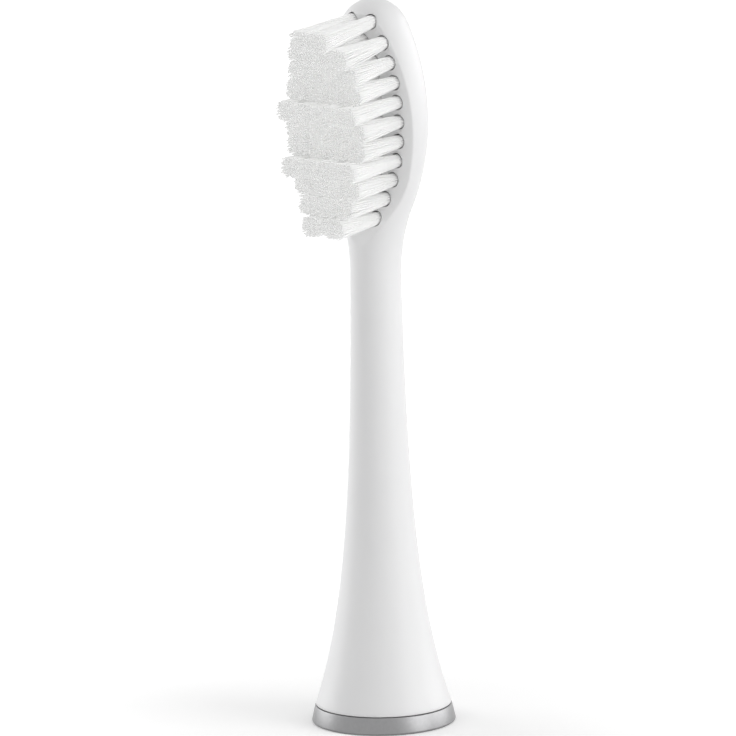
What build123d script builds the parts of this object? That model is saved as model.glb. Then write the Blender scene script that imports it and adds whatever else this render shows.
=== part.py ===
from build123d import *
import os
from math import asin, atan, atan2, cos, degrees, exp, pi, radians, sin, sqrt

# Push-on electric toothbrush head, in millimetres. The origin is the middle of the ring's foot, on the
# drive shaft's axis. +Z runs up the neck and the bristles point to -Y.

# Skirt and neck, round about the shaft axis
ring_height = 1.9
skirt_radius = 7.5
neck_radius = 2.8
neck_height = 48.7
flare_length = 14.7
skirt_wall = 1.3
lip_bevel = 0.12

# Head: a plate with fully rounded edges that leans back a little from the neck
lean_angle = 1.3
lean_radius = 60.0
shoulder_length = 17.1
toe_length = 13.2
nose_radius = 4.3
head_half_width = 6.6

# Bristle face: hollowed along the head, and running out into the neck at its heel
face_depth = 0.92
face_radius = 170.0
face_rise = 12.7
heel_length = 10.0
heel_overrun = 0.1

# Bristle tufts, listed from the heel row to the toe row
short_trim = 7.5
mid_trim = 8.2
long_trim = 9.0
toe_trim = 9.5
tuft_counts = [2, 3, 4, 4, 4, 4, 4, 4, 4, 3, 2]
tuft_trims = [short_trim] * 3 + [long_trim] + [short_trim] * 2 + [long_trim] + [short_trim] * 2
tuft_trims += [mid_trim, toe_trim]
heel_row_rise = 7.8
side_margin = 2.3
toe_margin = 1.7
toe_setback = 0.5
tuft_sides = 12
hole_radius = 0.85
hole_depth = 2.6
root_gap = 0.2
tip_gap = 0.06

# Flat wire anchors that the tufts are folded over
anchor_thickness = 0.25
anchor_height = 1.2
anchor_angle = 45.0
fold_height = 0.35
anchor_gap = 0.02

# Clip-on base ring
seam_gap = 0.06
foot_bevel = 0.4
spigot_radius = 5.9
spigot_wall = 0.9
spigot_height = 2.3
bead_rise = 0.2
bead_half_height = 0.45
fit_gap = 0.05

# Shaft socket pressed up into the neck, and its leaf spring
socket_seat = 12.0
flange_width = 0.8
flange_thickness = 1.0
guide_radius = 1.8
guide_length = 7.0
sleeve_wall = 0.7
key_radius = 1.6
key_flat_depth = 0.5
key_length = 7.0
socket_roof = 1.0
spring_width = 2.2
spring_thickness = 0.3
spring_length = 5.6
spring_foot = 0.6
spring_reach = 0.1

# Places that follow from the sizes above
body_foot = ring_height + seam_gap
spigot_top = ring_height + spigot_height
lean = radians(lean_angle)
head_start = neck_height + lean_radius * sin(lean)
head_end = head_start + (shoulder_length + toe_length) * cos(lean)
heel_height = neck_height + face_rise
rail_reach = head_half_width - neck_radius
nose_rail = nose_radius - neck_radius
nose_rise = toe_length - nose_radius
flank_rail = (rail_reach**2 + nose_rise**2 - nose_rail**2) / (2 * (rail_reach - nose_rail))
flank_turn = atan2(nose_rise, flank_rail - rail_reach)
field_toe = toe_length - toe_margin
heel_row_height = neck_height + heel_row_rise
toe_row_height = head_start + shoulder_length + field_toe - toe_setback
row_pitch = (toe_row_height - heel_row_height) / (len(tuft_counts) - 1)
sleeve_radius = guide_radius + sleeve_wall
socket_foot = socket_seat - flange_thickness
guide_top = socket_foot + guide_length
key_top = guide_top + key_length
key_middle = (guide_top + key_top) / 2
socket_top = key_top + socket_roof
key_flat = key_radius - key_flat_depth


def flare_radius(height):
    # The skirt narrows quickly at first and then fades into the neck
    fade = exp((ring_height - height) / flare_length)
    last_fade = exp((ring_height - neck_height) / flare_length)
    return neck_radius + (skirt_radius - neck_radius) * (fade - last_fade) / (1 - last_fade)


def bend_radius(length, shift):
    return (length**2 + shift**2) / (4 * shift)


def bend_shift(place, length, shift):
    # Sideways shift at a place along an S-bend of two equal arcs
    place = min(max(place, 0), length)
    if place > length / 2:
        return shift - bend_shift(length - place, length, shift)
    radius = bend_radius(length, shift)
    return radius - sqrt(radius**2 - place**2)


def s_bend(start, tangent, length, shift, side):
    turn = side * degrees(2 * atan(shift / length))
    first = JernArc(start, tangent, bend_radius(length, shift), turn)
    return [first, JernArc(first @ 1, first % 1, bend_radius(length, shift), -turn)]


def heel_drop():
    return flare_radius(heel_height - heel_length) + heel_overrun - face_depth


def face_front(height):
    # How far in front of the shaft axis the bristle face lies
    if height < heel_height:
        return face_depth + bend_shift(heel_height - height, heel_length, heel_drop())
    return face_depth + face_radius - sqrt(face_radius**2 - (height - heel_height) ** 2)


def upright(radius, low, high):
    return Pos(0, 0, low) * Cylinder(radius, high - low, align=(Align.CENTER, Align.CENTER, Align.MIN))


def turned(outline):
    return revolve(Plane.XZ * make_face(outline), Axis.Z)


def skirt_and_neck(arcs=3):
    lip = body_foot + lip_bevel
    heights = [lip + (neck_height - lip) * (step / 2 / arcs) ** 1.4 for step in range(2 * arcs + 1)]
    points = [(flare_radius(height), height) for height in heights]
    flare = [ThreePointArc(*points[2 * arc : 2 * arc + 3]) for arc in range(arcs)]
    foot = Polyline((0, neck_height), (0, body_foot), (points[0][0] - lip_bevel, body_foot), points[0])
    return turned([foot, *flare, Line(points[-1], (0, neck_height))])


def lean_bend():
    # A short bend that carries the neck's round section back into the head
    section = Pos(0, 0, neck_height) * Circle(neck_radius)
    return revolve(section, Axis((0, lean_radius, neck_height), (-1, 0, 0)), lean_angle)


def head_plate():
    # Right half: a round edge swept along a rail of tangent arcs, with the middle filled in
    shoulder = s_bend((0, 0), (0, 1), shoulder_length, rail_reach, -1)
    flank = JernArc(shoulder[1] @ 1, shoulder[1] % 1, flank_rail, degrees(flank_turn))
    nose = JernArc(flank @ 1, flank % 1, nose_rail, 90 - degrees(flank_turn))
    rail = [*shoulder, flank, nose]
    lap = nose_rail / 2
    edge = ThreePointArc((0, -neck_radius), (neck_radius, 0), (0, neck_radius))
    inner = Polyline(edge @ 1, (-lap, neck_radius), (-lap, -neck_radius), edge @ 0)
    rim = sweep(make_face([edge, inner]), path=Plane.XZ * Wire(rail))
    middle = extrude(Plane.XZ * make_face([*rail, Line(nose @ 1, (0, 0))]), neck_radius, both=True)
    size = 4 * (shoulder_length + toe_length)
    right = (rim + middle) & Box(size, size, size, align=(Align.MIN, Align.CENTER, Align.CENTER))
    return right + mirror(right, Plane.YZ)


def face_cutter():
    # Everything in front of the face, from beyond the toe down to where the heel leaves the neck
    reach = 2 * head_half_width
    deepest = (-face_depth, heel_height)
    rise = head_end + neck_radius - heel_height
    face = JernArc(deepest, (0, 1), face_radius, degrees(asin(rise / face_radius)))
    heel = s_bend(deepest, (0, -1), heel_length, heel_drop(), -1)
    high, low = face @ 1, heel[1] @ 1
    front = Polyline(high, (-2 * reach, high.Y), (-2 * reach, low.Y), low)
    return extrude(Plane.YZ * make_face([face, *heel, front]), reach, both=True)


def body_blank():
    head_place = Vector(0, lean_radius * (1 - cos(lean)), head_start)
    head_frame = Plane(head_place, x_dir=(1, 0, 0), z_dir=(0, sin(lean), cos(lean)))
    return skirt_and_neck() + lean_bend() + head_frame * head_plate() - face_cutter()


def field_reach(height):
    # Half-width of the tuft field: a margin inside the shoulders, then half an ellipse at the toe
    place = height - head_start
    into_toe = max(place - shoulder_length, 0) / field_toe
    widest = neck_radius + bend_shift(place, shoulder_length, rail_reach) - side_margin
    return widest * sqrt(1 - into_toe**2)


def tuft_sites():
    # One frame for each tuft: origin on the face, local z out of it, with the tuft's trimmed height
    sites = []
    for row, (count, trim) in enumerate(zip(tuft_counts, tuft_trims)):
        height = heel_row_height + row * row_pitch
        dip = asin(max(height - heel_height, 0) / face_radius)
        for column in range(count):
            across = field_reach(height) * (2 * column / (count - 1) - 1)
            foot = (across, -face_front(height), height)
            sites.append((Plane(foot, x_dir=(1, 0, 0), z_dir=(0, -cos(dip), -sin(dip))), trim))
    return sites


def tip_radius(sites):
    # The tips fan out until the closest pair nearly touches
    tips = [frame.origin + frame.z_dir * short_trim for frame, trim in sites]
    pairs = [(first - second).length for i, first in enumerate(tips) for second in tips[:i]]
    return (min(pairs) - tip_gap) / 2


def anchor_block(gap):
    block = Box(
        2 * (hole_radius * cos(pi / tuft_sides) + gap),
        anchor_thickness + 2 * gap,
        anchor_height + 2 * gap,
        align=(Align.CENTER, Align.CENTER, Align.MIN),
    )
    return Pos(0, 0, fold_height - hole_depth - gap) * Rot(0, 0, anchor_angle) * block


def tuft(trim, fan_radius):
    # A many-sided bundle that fans out from the hole's floor, folded round its anchor
    root_radius = hole_radius - root_gap
    length = hole_depth + trim
    spread = (fan_radius - root_radius) * cos(pi / tuft_sides)
    root = RegularPolygon(root_radius, tuft_sides)
    bundle = extrude(root, length, taper=-degrees(atan(spread / length)))
    return Pos(0, 0, -hole_depth) * bundle - anchor_block(anchor_gap)


def bead(gap):
    # Bead round the ring's spigot, and with a gap the groove that it clicks into
    middle = ring_height + spigot_height / 2
    rise = bead_rise + gap
    reach = (bead_half_height + gap) * rise / bead_rise
    outline = Polyline(
        (spigot_radius, middle - reach),
        (spigot_radius + rise, middle),
        (spigot_radius, middle + reach),
        close=True,
    )
    return turned(outline)


def base_ring():
    bore = spigot_radius - spigot_wall
    outline = Polyline(
        (bore, 0),
        (flare_radius(foot_bevel) - foot_bevel, 0),
        (flare_radius(foot_bevel), foot_bevel),
        (flare_radius(ring_height - lip_bevel), ring_height - lip_bevel),
        (skirt_radius - lip_bevel, ring_height),
        (spigot_radius, ring_height),
        (spigot_radius, spigot_top),
        (bore, spigot_top),
        close=True,
    )
    return turned(outline) + bead(0)


def skirt_hollow():
    # The ring's rebate, the hollow that follows the flare, and the bore for the socket
    wide = flare_radius(spigot_top) - skirt_wall
    narrow = flare_radius(socket_seat) - skirt_wall
    outline = Polyline((0, spigot_top), (wide, spigot_top), (narrow, socket_seat), (0, socket_seat), close=True)
    rebate = upright(spigot_radius + fit_gap, 0, spigot_top)
    bore = upright(sleeve_radius + fit_gap, 0, socket_top + fit_gap)
    return turned(outline) + rebate + bore + bead(fit_gap)


def brush_body(sites):
    body = body_blank() - skirt_hollow()
    hole = extrude(RegularPolygon(hole_radius, tuft_sides), hole_depth, both=True)
    return body - [frame * hole for frame, trim in sites]


def spring_ledge():
    # How far from the axis the spring's feet lie, just inside the sleeve's outside
    return sqrt(sleeve_radius**2 - (spring_width / 2) ** 2) - spring_thickness - fit_gap


def shaft_socket():
    sleeve = upright(sleeve_radius, socket_foot, socket_top)
    sleeve += upright(sleeve_radius + flange_width, socket_foot, socket_seat)
    sleeve -= upright(guide_radius, socket_foot, guide_top)
    outward = (Align.CENTER, Align.MIN, Align.CENTER)
    flat = Box(2 * key_radius, key_radius, 2 * key_length, align=outward)
    sleeve -= upright(key_radius, guide_top, key_top) - Pos(0, key_flat, key_middle) * flat
    slot_width = spring_width + 2 * fit_gap
    recess = Box(slot_width, sleeve_radius, spring_length + 2 * fit_gap, align=outward)
    window = Box(slot_width, sleeve_radius, spring_length - 2 * spring_foot, align=outward)
    return sleeve - Pos(0, spring_ledge(), key_middle) * recess - Pos(0, 0, key_middle) * window


def shaft_spring():
    # A leaf with two flat feet, bowed in past the key's flat so that it presses on the shaft
    ledge = spring_ledge()
    end = spring_length / 2
    bend = end - spring_foot
    low_foot = Line((ledge, -end), (ledge, -bend))
    bow = ThreePointArc((ledge, -bend), (key_flat - spring_reach, 0), (ledge, bend))
    high_foot = Line((ledge, bend), (ledge, end))
    line = Wire([low_foot, bow, high_foot])
    leaf = make_face(line.offset_2d(spring_thickness, kind=Kind.INTERSECTION, side=Side.RIGHT))
    return Pos(0, 0, key_middle) * extrude(Plane.YZ * leaf, spring_width / 2, both=True)


os.makedirs("parts", exist_ok=True)
all_sites = tuft_sites()
fan = tip_radius(all_sites)
export_step(brush_body(all_sites), "parts/brush_body.step")
export_step(base_ring(), "parts/base_ring.step")
export_step(shaft_socket(), "parts/shaft_socket.step")
export_step(shaft_spring(), "parts/shaft_spring.step")
anchors = [frame * anchor_block(0) for frame, trim in all_sites]
export_step(Compound(children=anchors), "parts/tuft_anchors.step")
for number, (frame, trim) in enumerate(all_sites, 1):
    export_step(frame * tuft(trim, fan), f"parts/bristle_tuft_{number:02d}.step")
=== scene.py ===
import math

import bmesh
import bpy
import numpy as np
from mathutils import Matrix, Vector


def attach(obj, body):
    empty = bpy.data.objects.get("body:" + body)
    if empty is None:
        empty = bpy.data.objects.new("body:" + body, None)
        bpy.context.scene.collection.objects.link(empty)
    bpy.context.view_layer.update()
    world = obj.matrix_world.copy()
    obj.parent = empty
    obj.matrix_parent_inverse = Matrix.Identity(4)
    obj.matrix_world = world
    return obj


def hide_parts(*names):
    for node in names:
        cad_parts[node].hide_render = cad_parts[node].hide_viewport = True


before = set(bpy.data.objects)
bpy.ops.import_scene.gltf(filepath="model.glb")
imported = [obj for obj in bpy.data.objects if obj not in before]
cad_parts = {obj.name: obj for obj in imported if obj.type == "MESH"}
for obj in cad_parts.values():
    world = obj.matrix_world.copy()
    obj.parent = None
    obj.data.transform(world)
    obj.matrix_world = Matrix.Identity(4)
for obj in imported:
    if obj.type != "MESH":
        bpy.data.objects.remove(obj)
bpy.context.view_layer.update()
mm = 0.001
print("frame loaded:", len(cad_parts), "nodes")


def newGroup(name, inputs, outputs):
    group = bpy.data.node_groups.new(name, "ShaderNodeTree")
    for label, kind, value in inputs:
        socket = group.interface.new_socket(label, in_out="INPUT", socket_type=kind)
        socket.default_value = value
    for label, kind in outputs:
        group.interface.new_socket(label, in_out="OUTPUT", socket_type=kind)
    return group, group.nodes.new("NodeGroupInput"), group.nodes.new("NodeGroupOutput")


def addNode(tree, kind, **settings):
    node = tree.nodes.new(kind)
    for key, value in settings.items():
        setattr(node, key, value)
    return node


def addNoise(tree, detail):
    place = addNode(tree, "ShaderNodeTexCoord")
    noise = addNode(tree, "ShaderNodeTexNoise")
    noise.inputs["Detail"].default_value = detail
    tree.links.new(place.outputs["Object"], noise.inputs["Vector"])
    return noise


# fine moulded or drawn surface: a height for bump and a roughness that wanders between two values
def makeFineGrain():
    group, inlet, outlet = newGroup(
        "fineGrain",
        [
            ("Scale", "NodeSocketFloat", 4000.0),
            ("Rough Low", "NodeSocketFloat", 0.3),
            ("Rough High", "NodeSocketFloat", 0.4),
        ],
        [("Height", "NodeSocketFloat"), ("Roughness", "NodeSocketFloat")],
    )
    noise = addNoise(group, detail=3.0)
    spread = addNode(group, "ShaderNodeMapRange")
    spread.inputs["From Min"].default_value = 0.3  # noise stays mostly between these two
    spread.inputs["From Max"].default_value = 0.7
    group.links.new(inlet.outputs["Scale"], noise.inputs["Scale"])
    group.links.new(noise.outputs["Fac"], spread.inputs["Value"])
    group.links.new(inlet.outputs["Rough Low"], spread.inputs["To Min"])
    group.links.new(inlet.outputs["Rough High"], spread.inputs["To Max"])
    group.links.new(noise.outputs["Fac"], outlet.inputs["Height"])
    group.links.new(spread.outputs["Result"], outlet.inputs["Roughness"])
    return group


# slow drift between two shades of one colour
def makeToneDrift():
    group, inlet, outlet = newGroup(
        "toneDrift",
        [
            ("Scale", "NodeSocketFloat", 60.0),
            ("Light", "NodeSocketColor", (0.9, 0.9, 0.9, 1)),
            ("Deep", "NodeSocketColor", (0.85, 0.85, 0.85, 1)),
        ],
        [("Color", "NodeSocketColor")],
    )
    noise = addNoise(group, detail=2.0)
    mix = addNode(group, "ShaderNodeMix", data_type="RGBA")
    colorA, colorB, colorResult = 6, 7, 2  # places of a Mix node's colour sockets
    group.links.new(inlet.outputs["Scale"], noise.inputs["Scale"])
    group.links.new(noise.outputs["Fac"], mix.inputs["Factor"])
    group.links.new(inlet.outputs["Light"], mix.inputs[colorA])
    group.links.new(inlet.outputs["Deep"], mix.inputs[colorB])
    group.links.new(mix.outputs[colorResult], outlet.inputs["Color"])
    return group


fineGrain = makeFineGrain()
toneDrift = makeToneDrift()


def placeGroup(tree, group, values):
    node = addNode(tree, "ShaderNodeGroup", node_tree=group)
    for socket, value in values.items():
        node.inputs[socket].default_value = value
    return node


# every finish of the brush head uses the two groups with its own values
def makeFinish(name, look):
    material = bpy.data.materials.new(name)
    material.use_nodes = True
    tree = material.node_tree
    surface = tree.nodes["Principled BSDF"]
    for socket, value in look.get("sockets", {}).items():
        surface.inputs[socket].default_value = value
    light, deep = (*look["light"], 1), (*look["deep"], 1)
    tone = placeGroup(tree, toneDrift, {"Scale": look["toneScale"], "Light": light, "Deep": deep})
    low, high = look["rough"]
    grain = placeGroup(tree, fineGrain, {"Scale": look["grainScale"], "Rough Low": low, "Rough High": high})
    bump = addNode(tree, "ShaderNodeBump")
    bump.inputs["Strength"].default_value = look["bump"]
    bump.inputs["Distance"].default_value = look["bumpDepth"]
    tree.links.new(tone.outputs["Color"], surface.inputs["Base Color"])
    tree.links.new(grain.outputs["Roughness"], surface.inputs["Roughness"])
    tree.links.new(grain.outputs["Height"], bump.inputs["Height"])
    tree.links.new(bump.outputs["Normal"], surface.inputs["Normal"])
    return material


whiteSatin = makeFinish("whiteSatin", {
    "light": (0.86, 0.86, 0.862), "deep": (0.83, 0.83, 0.834), "toneScale": 90.0,
    "grainScale": 5200.0, "rough": (0.34, 0.44), "bump": 0.12, "bumpDepth": 0.00002,
    "sockets": {
        "IOR": 1.48,
        "Subsurface Weight": 0.25, "Subsurface Scale": 0.001, "Subsurface Radius": (1, 1, 1),
    },
})
satinSilver = makeFinish("satinSilver", {
    "light": (0.3, 0.3, 0.304), "deep": (0.26, 0.26, 0.264), "toneScale": 2600.0,
    "grainScale": 9000.0, "rough": (0.34, 0.42), "bump": 0.1, "bumpDepth": 0.00001,
    "sockets": {"Metallic": 1.0},
})
bristleNylon = makeFinish("bristleNylon", {
    "light": (0.89, 0.89, 0.885), "deep": (0.86, 0.86, 0.855), "toneScale": 3000.0,
    "grainScale": 12000.0, "rough": (0.32, 0.45), "bump": 0.05, "bumpDepth": 0.000005,
    "sockets": {
        "IOR": 1.53,
        "Subsurface Weight": 1.0, "Subsurface Scale": 0.0001, "Subsurface Radius": (1, 1, 1),
    },
})
socketAcetal = makeFinish("socketAcetal", {
    "light": (0.8, 0.8, 0.78), "deep": (0.75, 0.75, 0.73), "toneScale": 150.0,
    "grainScale": 6000.0, "rough": (0.35, 0.48), "bump": 0.12, "bumpDepth": 0.00002,
})
springSteel = makeFinish("springSteel", {
    "light": (0.6, 0.6, 0.61), "deep": (0.52, 0.52, 0.54), "toneScale": 900.0,
    "grainScale": 8000.0, "rough": (0.25, 0.38), "bump": 0.1, "bumpDepth": 0.00001,
    "sockets": {"Metallic": 1.0},
})
anchorBrass = makeFinish("anchorBrass", {
    "light": (0.78, 0.62, 0.32), "deep": (0.68, 0.52, 0.26), "toneScale": 900.0,
    "grainScale": 8000.0, "rough": (0.28, 0.4), "bump": 0.1, "bumpDepth": 0.00001,
    "sockets": {"Metallic": 1.0},
})
print("finishes made")


def newPiece(name, mesh, material, node):
    mesh.materials.append(material)
    piece = bpy.data.objects.new(name, mesh)
    bpy.context.scene.collection.objects.link(piece)
    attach(piece, "root")
    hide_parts(node)
    return piece


def smoothMesh(mesh, sharpAngle):
    mesh.polygons.foreach_set("use_smooth", [True] * len(mesh.polygons))
    mesh.set_sharp_from_angle(angle=math.radians(sharpAngle))
    mesh.update()


# closes rows of points into a skin; rows that shrink to a point or fold shut are welded
def skinRows(name, rows, sharpAngle):
    weldDistance = 1e-7
    rowSize = len(rows[0])
    points = np.concatenate(rows) * mm
    faces = []
    for row in range(len(rows) - 1):
        low, high = row * rowSize, (row + 1) * rowSize
        for place in range(rowSize):
            after = (place + 1) % rowSize
            faces.append((low + place, low + after, high + after, high + place))
    mesh = bpy.data.meshes.new(name)
    mesh.from_pydata(points.tolist(), [], faces)
    skin = bmesh.new()
    skin.from_mesh(mesh)
    bmesh.ops.remove_doubles(skin, verts=skin.verts, dist=weldDistance)
    bmesh.ops.dissolve_degenerate(skin, edges=skin.edges, dist=weldDistance)
    bmesh.ops.recalc_face_normals(skin, faces=skin.faces)
    skin.to_mesh(mesh)
    skin.free()
    smoothMesh(mesh, sharpAngle)
    return mesh


# moulded body, in millimetres, with the solid's own sizes
body = {
    "ringHeight": 1.9, "seamGap": 0.06, "lip": 0.12, "lipSteps": 7,
    "skirtRadius": 7.5, "neckRadius": 2.8, "neckHeight": 48.7, "flareLength": 14.7,
    "leanAngle": 1.3, "leanRadius": 60.0, "leanRows": (0.33, 0.67),
    "shoulderLength": 17.1, "toeLength": 13.2, "noseRadius": 4.3, "headHalfWidth": 6.6,
    "faceDepth": 0.92, "faceRadius": 170.0, "faceRise": 12.7,
    "heelLength": 10.0, "heelOverrun": 0.1, "heelRunOut": 0.2, "heelBlend": 0.12,
    "rimRounding": 0.24, "rimPasses": 6, "rimWeight": 4.0, "backWeight": 0.7,
    "holeRadius": 0.85, "holeDepth": 2.6, "holeSides": 28, "drillReach": 2.0,
    "rebateRadius": 5.95, "spigotTop": 4.2,
    "grooveMiddle": 3.05, "grooveHalf": 0.5, "grooveDepth": 0.2,
    "hollowWide": 5.49, "hollowNarrow": 3.76, "socketSeat": 12.0, "boreRadius": 2.55, "boreTop": 26.05,
    "halfPoints": 84, "neckRows": 70, "neckCrowding": 1.15, "rowsPerArc": (34, 34, 40, 36),
    "facePoints": 90, "rimPoints": 40, "edgePoints": 120, "backPoints": 50,
    "sharpAngle": 38.0,
}
lean = math.radians(body["leanAngle"])
headStart = body["neckHeight"] + body["leanRadius"] * math.sin(lean)
headBack = body["leanRadius"] * (1 - math.cos(lean))
heelHeight = body["neckHeight"] + body["faceRise"]


def flareRadius(height):
    fade = np.exp((body["ringHeight"] - height) / body["flareLength"])
    lastFade = math.exp((body["ringHeight"] - body["neckHeight"]) / body["flareLength"])
    widening = (fade - lastFade) / (1 - lastFade)
    return body["neckRadius"] + (body["skirtRadius"] - body["neckRadius"]) * widening


# radius of an S-bend of two equal arcs
def bendRadius(length, shift):
    return (length**2 + shift**2) / (4 * shift)


# how far in front of the shaft's axis the bristle face lies at each height
def faceFront(heights):
    below = np.clip(heelHeight - heights, 0, None)
    length = body["heelLength"]
    drop = flareRadius(heelHeight - length) + body["heelOverrun"] - body["faceDepth"]
    radius = bendRadius(length, drop)
    upper = radius - np.sqrt(radius**2 - np.clip(below, 0, length / 2) ** 2)
    lower = drop - radius + np.sqrt(radius**2 - np.clip(length - below, -length / 2, length / 2) ** 2)
    past = drop + body["heelRunOut"] * (below - length)
    heel = np.where(below < length / 2, upper, np.where(below < length, lower, past))
    rise = np.clip(heights - heelHeight, 0, None)
    hollow = body["faceRadius"] - np.sqrt(body["faceRadius"] ** 2 - rise**2)
    return body["faceDepth"] + heel + hollow


# stations along the rail that the head's round edge follows: across, along, and the way the edge faces
def railStations():
    reach = body["headHalfWidth"] - body["neckRadius"]
    nose = body["noseRadius"] - body["neckRadius"]
    rise = body["toeLength"] - body["noseRadius"]
    flank = (reach**2 + rise**2 - nose**2) / (2 * (reach - nose))
    flankTurn = math.atan2(rise, flank - reach)
    length = body["shoulderLength"]
    bend = bendRadius(length, reach)
    turn = 2 * math.atan(reach / length)
    counts = body["rowsPerArc"]
    stations = []
    for angle in np.linspace(0, turn, counts[0], endpoint=False):
        stations.append((bend * (1 - math.cos(angle)), bend * math.sin(angle), -angle))
    for angle in np.linspace(turn, 0, counts[1], endpoint=False):
        stations.append((reach - bend * (1 - math.cos(angle)), length - bend * math.sin(angle), -angle))
    for angle in np.linspace(0, flankTurn, counts[2], endpoint=False):
        stations.append((reach - flank * (1 - math.cos(angle)), length + flank * math.sin(angle), angle))
    for angle in np.linspace(flankTurn, math.pi / 2, counts[3]):
        stations.append((nose * math.cos(angle), length + rise + nose * math.sin(angle), angle))
    return stations


# face level in the leaning head's own frame, faded softly into the front of the neck
def faceLevel(along):
    level = -faceFront(headStart + along * math.cos(lean)) - headBack - along * math.sin(lean)
    floor, blend = -body["neckRadius"], body["heelBlend"]
    clear = level - floor
    fade = blend * np.exp(-((clear / blend) ** 2))
    return 0.5 * (level + floor + np.sqrt(clear**2 + blend**2)) - 0.5 * fade


# spaces a section's points evenly again, closer together where their weight is more
def respace(out, y, weight):
    steps = np.hypot(np.diff(out), np.diff(y)) * (weight[1:] + weight[:-1]) / 2
    run = np.concatenate([[0], np.cumsum(steps)])
    places = np.linspace(0, run[-1], body["halfPoints"])
    return np.interp(places, run, out), np.interp(places, run, y)


# half of one head section, from the middle of the face round the edge to the middle of the back
def headSection(across, along, facing):
    edge, rounding = body["neckRadius"], body["rimRounding"]
    atNose = math.isclose(facing, math.pi / 2)
    inner = edge - body["noseRadius"] if atNose else -across / math.cos(facing)
    rim = edge - rounding
    # the rim's place and the face level there depend on each other, so a few passes settle them
    for _ in range(body["rimPasses"]):
        level = max(float(faceLevel(along + rim * math.sin(facing))), -edge)
        rim = math.sqrt(max((edge - rounding) ** 2 - (level + rounding) ** 2, 0))
    meet = math.atan2(level + rounding, rim)
    face = np.linspace(inner, rim, body["facePoints"])
    faceY = np.maximum(faceLevel(along + face * math.sin(facing)), -edge)
    faceY += (level - faceY[-1]) * np.linspace(0, 1, len(face))
    turn = np.linspace(-math.pi / 2, meet, body["rimPoints"])[1:]
    arc = np.linspace(meet, math.pi / 2, body["edgePoints"])[1:]
    back = np.linspace(0, inner, body["backPoints"])[1:]
    out = np.concatenate([face, rim + rounding * np.cos(turn), edge * np.cos(arc), back])
    turnY, backY = level + rounding + rounding * np.sin(turn), np.full(len(back), edge)
    y = np.concatenate([faceY, turnY, edge * np.sin(arc), backY])
    # more points at the rim, fewer on the flat back
    weights = ((face, 1.0), (turn, body["rimWeight"]), (arc, 1.0), (back, body["backWeight"]))
    out, y = respace(out, y, np.concatenate([np.full(len(part), weight) for part, weight in weights]))
    x = across + out * math.cos(facing)
    x[0] = x[-1] = 0
    z = along + out * math.sin(facing)
    leanY = headBack + y * math.cos(lean) + z * math.sin(lean)
    leanZ = headStart + z * math.cos(lean) - y * math.sin(lean)
    return np.stack([x, leanY, leanZ], 1)


def wholeRow(half):
    other = half[-2:0:-1] * np.array([-1, 1, 1])
    return np.concatenate([half, other])


def roundRow(radius, height, tilt=0.0):
    angles = np.linspace(-math.pi / 2, math.pi / 2, body["halfPoints"])
    x, y = radius * np.cos(angles), radius * np.sin(angles)
    x[0] = x[-1] = 0
    bent = body["leanRadius"]
    back = bent * (1 - math.cos(tilt)) + y * math.cos(tilt)
    up = height + bent * math.sin(tilt) - y * math.sin(tilt)
    return wholeRow(np.stack([x, back, up], 1))


def bodyRows():
    foot, rebate = body["ringHeight"] + body["seamGap"], body["rebateRadius"]
    middle, half = body["grooveMiddle"], body["grooveHalf"]
    # the hollow from the top of the bore down to the foot, as radius and height
    inside = [
        (0, body["boreTop"]), (body["boreRadius"], body["boreTop"]),
        (body["boreRadius"], body["socketSeat"]), (body["hollowNarrow"], body["socketSeat"]),
        (body["hollowWide"], body["spigotTop"]), (rebate, body["spigotTop"]),
        (rebate, middle + half), (rebate + body["grooveDepth"], middle), (rebate, middle - half),
        (rebate, foot),
    ]
    lip = body["lip"]
    lipRadius = float(flareRadius(foot + lip)) - lip
    corner = np.linspace(-math.pi / 2, 0, body["lipSteps"])
    outside = [(lipRadius + lip * math.cos(angle), foot + lip + lip * math.sin(angle)) for angle in corner]
    shares = (np.arange(1, body["neckRows"] + 1) / body["neckRows"]) ** body["neckCrowding"]
    heights = foot + lip + (body["neckHeight"] - foot - lip) * shares
    outside += [(float(flareRadius(height)), height) for height in heights]
    rows = [roundRow(radius, height) for radius, height in inside + outside]
    rows += [roundRow(body["neckRadius"], body["neckHeight"], lean * share) for share in body["leanRows"]]
    return rows + [wholeRow(headSection(*station)) for station in railStations()]


# a tuft's foot on the face, its direction and its trimmed height, read from the solid
def tuftPlace(node, tipSlice=0.5, rootSlice=0.25):
    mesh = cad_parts[node].data
    points = np.zeros(len(mesh.vertices) * 3, np.float32)
    mesh.vertices.foreach_get("co", points)
    points = points.reshape(-1, 3).astype(float) / mm
    front, rear = points[:, 1].min(), points[:, 1].max()
    tip = points[points[:, 1] < front + tipSlice]
    root = points[points[:, 1] > rear - rootSlice]
    tipMiddle, rootMiddle = (tip.min(0) + tip.max(0)) / 2, (root.min(0) + root.max(0)) / 2
    length = np.linalg.norm(tipMiddle - rootMiddle)
    axis = (tipMiddle - rootMiddle) / length
    return rootMiddle + axis * body["holeDepth"], axis, length - body["holeDepth"]


tuftNodes = sorted(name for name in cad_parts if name.startswith("bristle_tuft"))
tuftPlaces = {node: tuftPlace(node) for node in tuftNodes}


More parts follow.
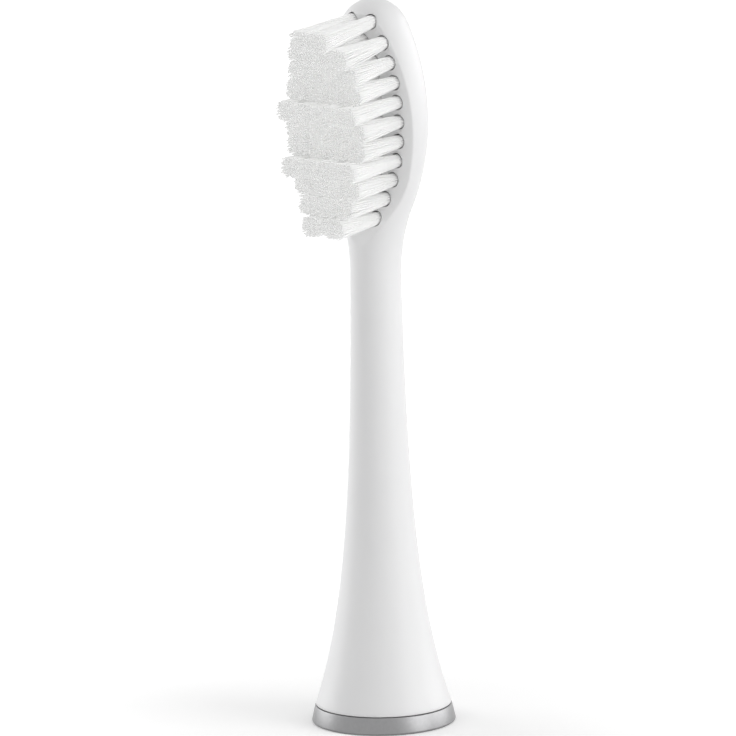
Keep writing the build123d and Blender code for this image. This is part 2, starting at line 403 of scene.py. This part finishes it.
def drillHoles(mesh):
    radius, depth, reach = body["holeRadius"] * mm, body["holeDepth"], body["drillReach"]
    cutter = bmesh.new()
    for foot, axis, _ in tuftPlaces.values():
        turn = Vector((0, 0, 1)).rotation_difference(Vector(axis)).to_matrix().to_4x4()
        middle = Vector(foot) + Vector(axis) * ((reach - depth) / 2)
        bmesh.ops.create_cone(
            cutter, cap_ends=True, segments=body["holeSides"], radius1=radius, radius2=radius,
            depth=(depth + reach) * mm, matrix=Matrix.Translation(middle * mm) @ turn,
        )
    cutterMesh = bpy.data.meshes.new("holeCutter")
    cutter.to_mesh(cutterMesh)
    cutter.free()
    blank = bpy.data.objects.new("bodyBlank", mesh)
    drill = bpy.data.objects.new("holeDrill", cutterMesh)
    for item in (blank, drill):
        bpy.context.scene.collection.objects.link(item)
    cut = blank.modifiers.new("holes", "BOOLEAN")
    cut.object, cut.operation, cut.solver = drill, "DIFFERENCE", "EXACT"
    depsgraph = bpy.context.evaluated_depsgraph_get()
    drilled = bpy.data.meshes.new_from_object(blank.evaluated_get(depsgraph))
    for item in (blank, drill):
        bpy.data.objects.remove(item)
    smoothMesh(drilled, body["sharpAngle"])
    return drilled


def makeBody():
    mesh = drillHoles(skinRows("brushBody", bodyRows(), body["sharpAngle"]))
    mesh.name = "brushBody"
    return newPiece("brushBody", mesh, whiteSatin, "brush_body")


brushBody = makeBody()
print("body made:", len(brushBody.data.polygons), "faces")


# base ring: a turned section with rounded corners, in millimetres
ring = {
    "height": 1.9, "footRadius": 7.94, "footRounding": 0.22, "lipRadius": 7.5, "lipRounding": 0.12,
    "bore": 5.0, "spigotRadius": 5.9, "spigotTop": 4.2, "edge": 0.1,
    "beadMiddle": 3.05, "beadHalf": 0.45, "beadRise": 0.2, "beadRounding": 0.05,
    "sides": 240, "cornerSteps": 6, "sharpAngle": 40.0,
}


# replaces each corner of a section by a short arc of its own rounding
def roundedSection(corners):
    points = []
    steps = ring["cornerSteps"]
    for place, (radius, height, rounding) in enumerate(corners):
        corner = Vector((radius, height))
        if rounding <= 0:
            points.append(corner)
            continue
        before = (Vector(corners[place - 1][:2]) - corner).normalized()
        after = (Vector(corners[(place + 1) % len(corners)][:2]) - corner).normalized()
        half = before.angle(after) / 2
        middle = corner + (before + after).normalized() * (rounding / math.sin(half))
        start = corner + before * (rounding / math.tan(half)) - middle
        end = corner + after * (rounding / math.tan(half)) - middle
        sweep = start.angle_signed(end)
        for step in range(steps + 1):
            points.append(middle + Matrix.Rotation(-sweep * step / steps, 2) @ start)
    return points


def makeRing():
    edge, height, spigot = ring["edge"], ring["height"], ring["spigotRadius"]
    corners = [
        (ring["bore"], 0.0, edge),
        (ring["footRadius"], 0.0, ring["footRounding"]),
        (ring["lipRadius"], height, ring["lipRounding"]),
        (spigot, height, 0.0),
        (spigot, ring["beadMiddle"] - ring["beadHalf"], 0.0),
        (spigot + ring["beadRise"], ring["beadMiddle"], ring["beadRounding"]),
        (spigot, ring["beadMiddle"] + ring["beadHalf"], 0.0),
        (spigot, ring["spigotTop"], edge),
        (ring["bore"], ring["spigotTop"], edge),
    ]
    section = roundedSection(corners)
    angles = np.linspace(0, 2 * math.pi, ring["sides"], endpoint=False)
    rows = []
    for radius, level in [*section, section[0]]:
        levels = np.full(len(angles), level)
        rows.append(np.stack([radius * np.cos(angles), radius * np.sin(angles), levels], 1))
    mesh = skinRows("baseRing", rows, ring["sharpAngle"])
    return newPiece("baseRing", mesh, satinSilver, "base_ring")


baseRing = makeRing()
print("ring made:", len(baseRing.data.polygons), "faces")


# bristles: every filament end of every tuft, in millimetres
bristle = {
    "count": 120, "rootRadius": 0.07, "tipRadius": 0.095, "sides": 6, "sharpAngle": 60.0,
    "rootSpread": 0.67, "tipSpread": (1.34, 1.1), "tipSquareness": 4.0, "tipPull": 0.05, "fanPower": 1.15,
    "rootDepth": 2.3, "bow": 0.05, "wander": 0.05, "trimScatter": 0.1,
    "seed": 4, "spiralStep": 2.39996, "spiralStart": 6.28,
    # a ring's share of the height, its drop in tip radii and its girth; the last three are a small dome
    "rings": (
        (0.0, 0.0, 1.0), (0.3, 0.0, 1.0), (0.62, 0.0, 1.0), (0.86, 0.0, 1.0),
        (1.0, 0.35, 1.0), (1.0, 0.08, 0.75), (1.0, 0.0, 0.0),
    ),
}


# closed filaments whose points are ordered by ring, then side, then filament
def filamentFaces(count, sides, ringCount):
    faces = []
    for filament in range(count):
        loops = []
        for level in range(ringCount):
            loops.append([(level * sides + turn) * count + filament for turn in range(sides)])
        faces.append(loops[0][::-1])
        for low, high in zip(loops[:-2], loops[1:-1]):
            for turn in range(sides):
                after = (turn + 1) % sides
                faces.append([low[turn], low[after], high[after], high[turn]])
        last, tip = loops[-2], loops[-1][0]
        for turn in range(sides):
            faces.append([last[turn], last[(turn + 1) % sides], tip])
    return faces


def makeTuft(node, number):
    foot, axis, trim = tuftPlaces[node]
    chance = np.random.RandomState(bristle["seed"] + number)
    side = np.cross([0.0, 0, 1], axis)
    side /= np.linalg.norm(side)
    up = np.cross(axis, side)
    count, sides = bristle["count"], bristle["sides"]
    # roots lie in a round spiral, and tips in a squarer patch that meets its neighbours
    order = np.arange(count)
    share = np.sqrt((order + 0.5) / count)
    spiral = order * bristle["spiralStep"] + chance.uniform(0, bristle["spiralStart"])
    spot = np.stack([share * np.cos(spiral), share * np.sin(spiral)], 1)
    power = bristle["tipSquareness"]
    fill = (np.abs(np.cos(spiral)) ** power + np.abs(np.sin(spiral)) ** power) ** (-1 / power)
    tipSpot = spot * fill[:, None] * np.array(bristle["tipSpread"])
    tipSpot = tipSpot + chance.normal(0, bristle["wander"], (count, 2))
    tipSpot[:, 0] -= bristle["tipPull"] * foot[0]
    rootSpot = spot * bristle["rootSpread"]
    bow = chance.normal(0, bristle["bow"], (count, 2))
    tops = trim - chance.uniform(0, bristle["trimScatter"], count)
    rootRadius, tipRadius = bristle["rootRadius"], bristle["tipRadius"]
    levels = [(np.full(count, -bristle["rootDepth"]), 1.0)]
    levels += [(tops * part - drop * tipRadius, girth) for part, drop, girth in bristle["rings"]]
    points = []
    for height, girth in levels:
        climb = np.clip(height / trim, 0, 1)[:, None]
        spread = rootSpot + (tipSpot - rootSpot) * climb ** bristle["fanPower"]
        spread = spread + bow * np.sin(math.pi * climb)
        middle = foot + spread[:, :1] * side + spread[:, 1:] * up + height[:, None] * axis
        radius = (rootRadius + (tipRadius - rootRadius) * climb) * girth
        for angle in np.arange(sides) * 2 * math.pi / sides:
            points.append(middle + radius * (math.cos(angle) * side + math.sin(angle) * up))
    mesh = bpy.data.meshes.new(f"bristles{number:02d}")
    faces = filamentFaces(count, sides, len(levels))
    mesh.from_pydata((np.concatenate(points) * mm).tolist(), [], faces)
    tuft = bmesh.new()
    tuft.from_mesh(mesh)
    loose = [vert for vert in tuft.verts if not vert.link_faces]  # a tip uses one point of its last ring
    bmesh.ops.delete(tuft, geom=loose, context="VERTS")
    tuft.to_mesh(mesh)
    tuft.free()
    smoothMesh(mesh, bristle["sharpAngle"])
    piece = newPiece(f"bristles{number:02d}", mesh, bristleNylon, node)
    piece.visible_shadow = False  # clear nylon lets the light through


for number, node in enumerate(tuftNodes, 1):
    makeTuft(node, number)
print("bristles made:", len(tuftNodes), "tufts of", bristle["count"], "filaments")

# pieces inside the skirt and the holes keep their solids
innerFinishes = {"shaft_socket": socketAcetal, "shaft_spring": springSteel, "tuft_anchors": anchorBrass}
for node, finish in innerFinishes.items():
    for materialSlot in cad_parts[node].material_slots:
        materialSlot.material = finish
print("inner pieces finished")


# floor, background and camera, in metres
studio = {
    "floorSize": 3.0, "floorDrop": 0.00002, "floorColor": (0.93, 0.93, 0.93, 1), "floorRoughness": 0.9,
    "floorLift": (0.2, 0.5), "liftReach": (0.008, 0.07),
    "worldLight": 0.55, "worldSeen": 1.0,
    "azimuth": 38.0, "elevation": 11.7, "roll": 1.09, "distance": 1.4,
    "imageSize": 736, "pixelsPerMm": 9.16, "aimHeight": 0.03944, "aimShift": 0.00102,
    "sensorWidth": 36.0, "clip": (0.01, 50.0),
}


# one where the camera or a reflection looks, nought for the light that falls on the object
def seenRays(tree):
    rays = addNode(tree, "ShaderNodeLightPath")
    first = addNode(tree, "ShaderNodeMath", operation="MAXIMUM")
    seen = addNode(tree, "ShaderNodeMath", operation="MAXIMUM")
    tree.links.new(rays.outputs["Is Camera Ray"], first.inputs[0])
    tree.links.new(rays.outputs["Is Glossy Ray"], first.inputs[1])
    tree.links.new(first.outputs["Value"], seen.inputs[0])
    tree.links.new(rays.outputs["Is Transmission Ray"], seen.inputs[1])
    return seen.outputs["Value"]


def makeFloor():
    mesh = bpy.data.meshes.new("floor")
    half = studio["floorSize"] / 2
    low = -studio["floorDrop"]
    corners = [(-half, -half, low), (half, -half, low), (half, half, low), (-half, half, low)]
    mesh.from_pydata(corners, [], [(0, 1, 2, 3)])
    floor = bpy.data.objects.new("floor", mesh)
    bpy.context.scene.collection.objects.link(floor)
    material = bpy.data.materials.new("paleFloor")
    material.use_nodes = True
    tree = material.node_tree
    surface = tree.nodes["Principled BSDF"]
    surface.inputs["Base Color"].default_value = studio["floorColor"]
    surface.inputs["Roughness"].default_value = studio["floorRoughness"]
    surface.inputs["Specular IOR Level"].default_value = 0.0
    surface.inputs["Emission Color"].default_value = (1, 1, 1, 1)
    # lifted to white where it is seen, less of it near the ring so that the shadow shows
    place = addNode(tree, "ShaderNodeNewGeometry")
    reach = addNode(tree, "ShaderNodeVectorMath", operation="LENGTH")
    fade = addNode(tree, "ShaderNodeMapRange", interpolation_type="SMOOTHSTEP")
    fade.inputs["From Min"].default_value, fade.inputs["From Max"].default_value = studio["liftReach"]
    fade.inputs["To Min"].default_value, fade.inputs["To Max"].default_value = studio["floorLift"]
    lift = addNode(tree, "ShaderNodeMath", operation="MULTIPLY")
    tree.links.new(place.outputs["Position"], reach.inputs[0])
    tree.links.new(reach.outputs["Value"], fade.inputs["Value"])
    tree.links.new(seenRays(tree), lift.inputs[0])
    tree.links.new(fade.outputs["Result"], lift.inputs[1])
    tree.links.new(lift.outputs["Value"], surface.inputs["Emission Strength"])
    mesh.materials.append(material)


def makeWorld():
    world = bpy.data.worlds.new("studioWorld")
    bpy.context.scene.world = world
    world.use_nodes = True
    tree = world.node_tree
    tree.nodes.clear()
    strength = addNode(tree, "ShaderNodeMapRange")
    strength.inputs["To Min"].default_value = studio["worldLight"]
    strength.inputs["To Max"].default_value = studio["worldSeen"]
    background = addNode(tree, "ShaderNodeBackground")
    background.inputs["Color"].default_value = (1, 1, 1, 1)
    outlet = addNode(tree, "ShaderNodeOutputWorld")
    tree.links.new(seenRays(tree), strength.inputs["Value"])
    tree.links.new(strength.outputs["Result"], background.inputs["Strength"])
    tree.links.new(background.outputs["Background"], outlet.inputs["Surface"])


# lamps by direction round the object, as the camera's azimuth is counted; the strip shows only in gloss
lamps = {
    "rightSoft": {"azimuth": 101.0, "elevation": 17.0, "distance": 0.6, "size": 0.48, "power": 1.3},
    "leftSoft": {"azimuth": -80.0, "elevation": 12.0, "distance": 0.7, "size": 0.62, "power": 2.0},
    "topSoft": {"azimuth": 90.0, "elevation": 70.0, "distance": 0.7, "size": 0.5, "power": 0.45},
    "rightStrip": {
        "azimuth": 148.0, "elevation": 14.0, "distance": 0.7, "size": 0.6, "power": 2.2, "glossOnly": True,
    },
}


def outward(azimuth, elevation):
    turn, lift = math.radians(azimuth), math.radians(elevation)
    return Vector((math.sin(turn) * math.cos(lift), -math.cos(turn) * math.cos(lift), math.sin(lift)))


def makeLamps():
    aim = Vector((0, 0, studio["aimHeight"]))
    for name, lamp in lamps.items():
        light = bpy.data.lights.new(name, "AREA")
        light.shape = "DISK"
        light.size, light.energy = lamp["size"], lamp["power"]
        holder = bpy.data.objects.new(name, light)
        bpy.context.scene.collection.objects.link(holder)
        away = outward(lamp["azimuth"], lamp["elevation"])
        holder.location = aim + away * lamp["distance"]
        holder.rotation_euler = away.to_track_quat("Z", "Y").to_euler()
        holder.visible_diffuse = not lamp.get("glossOnly", False)


def makeCamera():
    data = bpy.data.cameras.new("camera")
    data.sensor_width = studio["sensorWidth"]
    width = studio["imageSize"] / studio["pixelsPerMm"] * mm
    data.lens = data.sensor_width * studio["distance"] / width
    data.clip_start, data.clip_end = studio["clip"]
    camera = bpy.data.objects.new("camera", data)
    bpy.context.scene.collection.objects.link(camera)
    away = outward(studio["azimuth"], studio["elevation"])
    turn = math.radians(studio["azimuth"])
    across = Vector((math.cos(turn), math.sin(turn), 0))
    aim = Vector((0, 0, studio["aimHeight"])) - across * studio["aimShift"]
    camera.location = aim + away * studio["distance"]
    roll = Matrix.Rotation(math.radians(-studio["roll"]), 3, away).to_quaternion()
    camera.rotation_mode = "QUATERNION"
    camera.rotation_quaternion = roll @ away.to_track_quat("Z", "Y")
    bpy.context.scene.camera = camera


makeFloor()
makeWorld()
makeLamps()
makeCamera()
bpy.context.scene.view_settings.view_transform = "Standard"
print("studio made")

bpy.context.view_layer.update()
